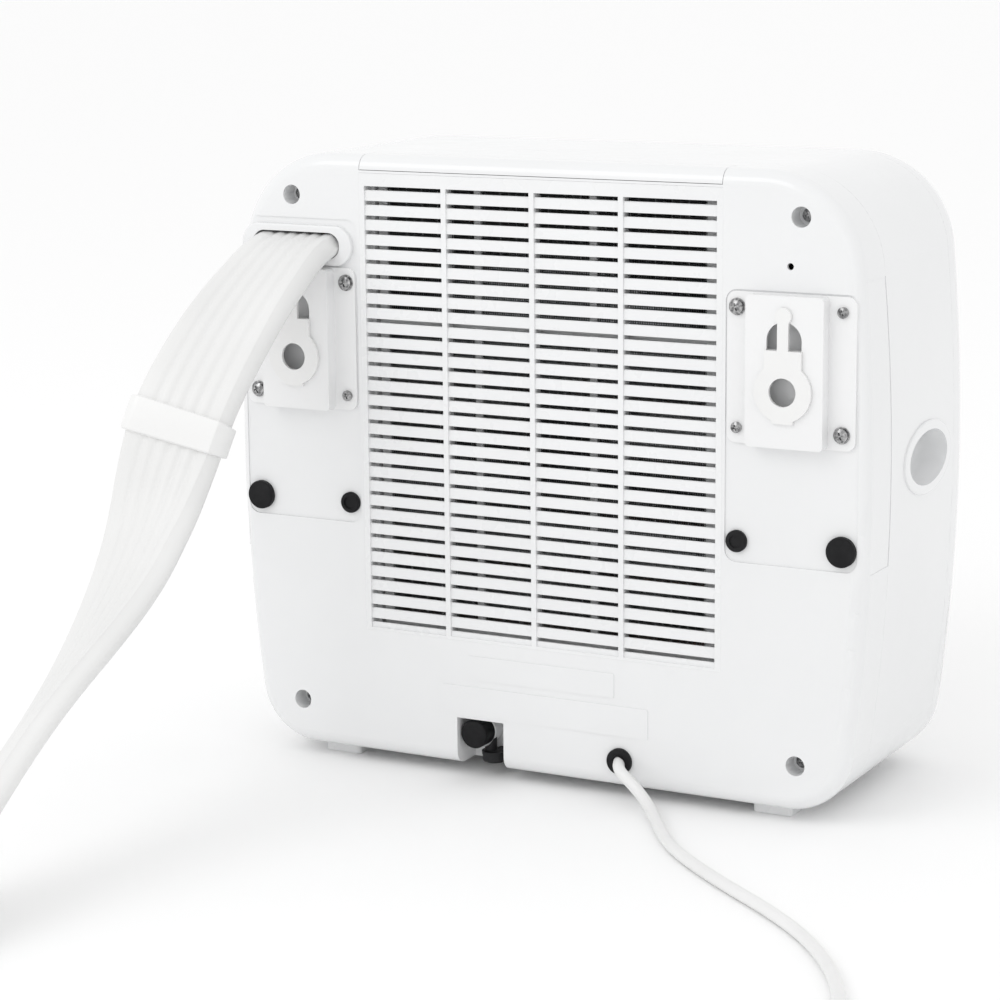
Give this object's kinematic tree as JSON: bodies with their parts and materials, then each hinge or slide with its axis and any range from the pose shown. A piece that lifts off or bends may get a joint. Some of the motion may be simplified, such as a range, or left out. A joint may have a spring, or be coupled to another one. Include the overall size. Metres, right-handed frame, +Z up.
{
  "type": "split air conditioner unit",
  "caption": "Louvred casing of a wall-hung split air conditioner, with slide-out filter, keyhole hanging plates, flat umbilical hose, drain and mains lead.",
  "frame": {"origin": "on the ground under the middle of the casing and its hanging plates, hose and mains lead left out", "axes": "+Z up, +Y out of the louvred rear face that goes to the wall, +X to the left of someone looking at that rear face"},
  "size_m": [0.5934, 0.951, 0.426],
  "materials": {
    "casing": "glossy white moulded plastic",
    "grille": "glossy white moulded plastic",
    "plate": "white powder coat",
    "lock": "smooth white plastic",
    "filter": "satin white plastic",
    "mesh": "dark woven nylon mesh",
    "rubber": "smooth black rubber",
    "black_plastic": "moulded black plastic",
    "screw": "zinc plated",
    "hose": "ribbed white flexible sleeve",
    "lead": "white flexible PVC",
    "brass": "machined",
    "copper": "drawn copper tube",
    "fins": "pressed foil",
    "sheet": "galvanised sheet",
    "fan": "moulded grey plastic",
    "motor": "dark enamel",
    "inner": "plain moulded plastic"
  },
  "bodies": {
    "cabinet": {"capacitor": "motor", "coil_end_plates": "sheet", "coil_fins": "fins", "coil_tubes": "copper", "cord_grommet": "rubber", "coupling_nipples": "brass", "cover_screws": "screw", "drain_pan": "inner", "drain_socket": "casing", "drain_spout": "black_plastic", "fan_guard": "grille", "fan_motor": "motor", "fan_shroud": "inner", "foot_front_left": "grille", "foot_front_right": "grille", "foot_rear_left": "grille", "foot_rear_right": "grille", "front_panel": "casing", "hanging_plate_left": "plate", "hanging_plate_right": "plate", "hose_bezel": "casing", "hose_collar": "lock", "hose_coupling": "lock", "lead_coil": "lead", "lead_inside": "lead", "lead_run": "lead", "lead_tail": "lead", "lead_tie": "black_plastic", "main_shell": "casing", "mains_plug": "lead", "motor_bracket": "sheet", "plate_screws_large": "screw", "plate_screws_small": "screw", "plug_pins": "brass", "rating_plate_lower": "casing", "rating_plate_upper": "casing", "rear_cover": "casing", "rear_grille": "grille", "refrigerant_pipes": "copper", "rubber_buffers": "rubber", "rubber_plugs": "rubber", "side_grip_left": "casing", "side_grip_right": "casing", "terminal_block": "inner", "umbilical_hose": "hose", "wiring_box": "inner", "wiring_lid": "inner"},
    "filter": {"filter_frame": "filter", "filter_mesh": "mesh", "filter_handle": "casing"},
    "fan": {"fan_impeller": "fan", "fan_shaft": "sheet"},
    "lock_left": {"hook_lock_left": "lock"},
    "lock_right": {"hook_lock_right": "lock"},
    "drain_cap": {"drain_plug": "rubber"}
  },
  "joints": [
    {"name": "fan_spin", "type": "hinge", "parent": "cabinet", "child": "fan", "pos_m": [0, 0, 0.226], "axis": [0, 1, 0], "continuous": true},
    {"name": "filter_slide", "type": "slide", "parent": "cabinet", "child": "filter", "axis": [0, 0, 1], "range_m": [0, 0.3]},
    {"name": "lock_left_slide", "type": "slide", "parent": "cabinet", "child": "lock_left", "axis": [0, 0, 1], "range_m": [0, 0.004]},
    {"name": "lock_right_slide", "type": "slide", "parent": "cabinet", "child": "lock_right", "axis": [0, 0, 1], "range_m": [0, 0.004]},
    {"name": "drain_plug_pull", "type": "slide", "parent": "cabinet", "child": "drain_cap", "axis": [0, 1, 0], "range_m": [0, 0.025]}
  ]
}
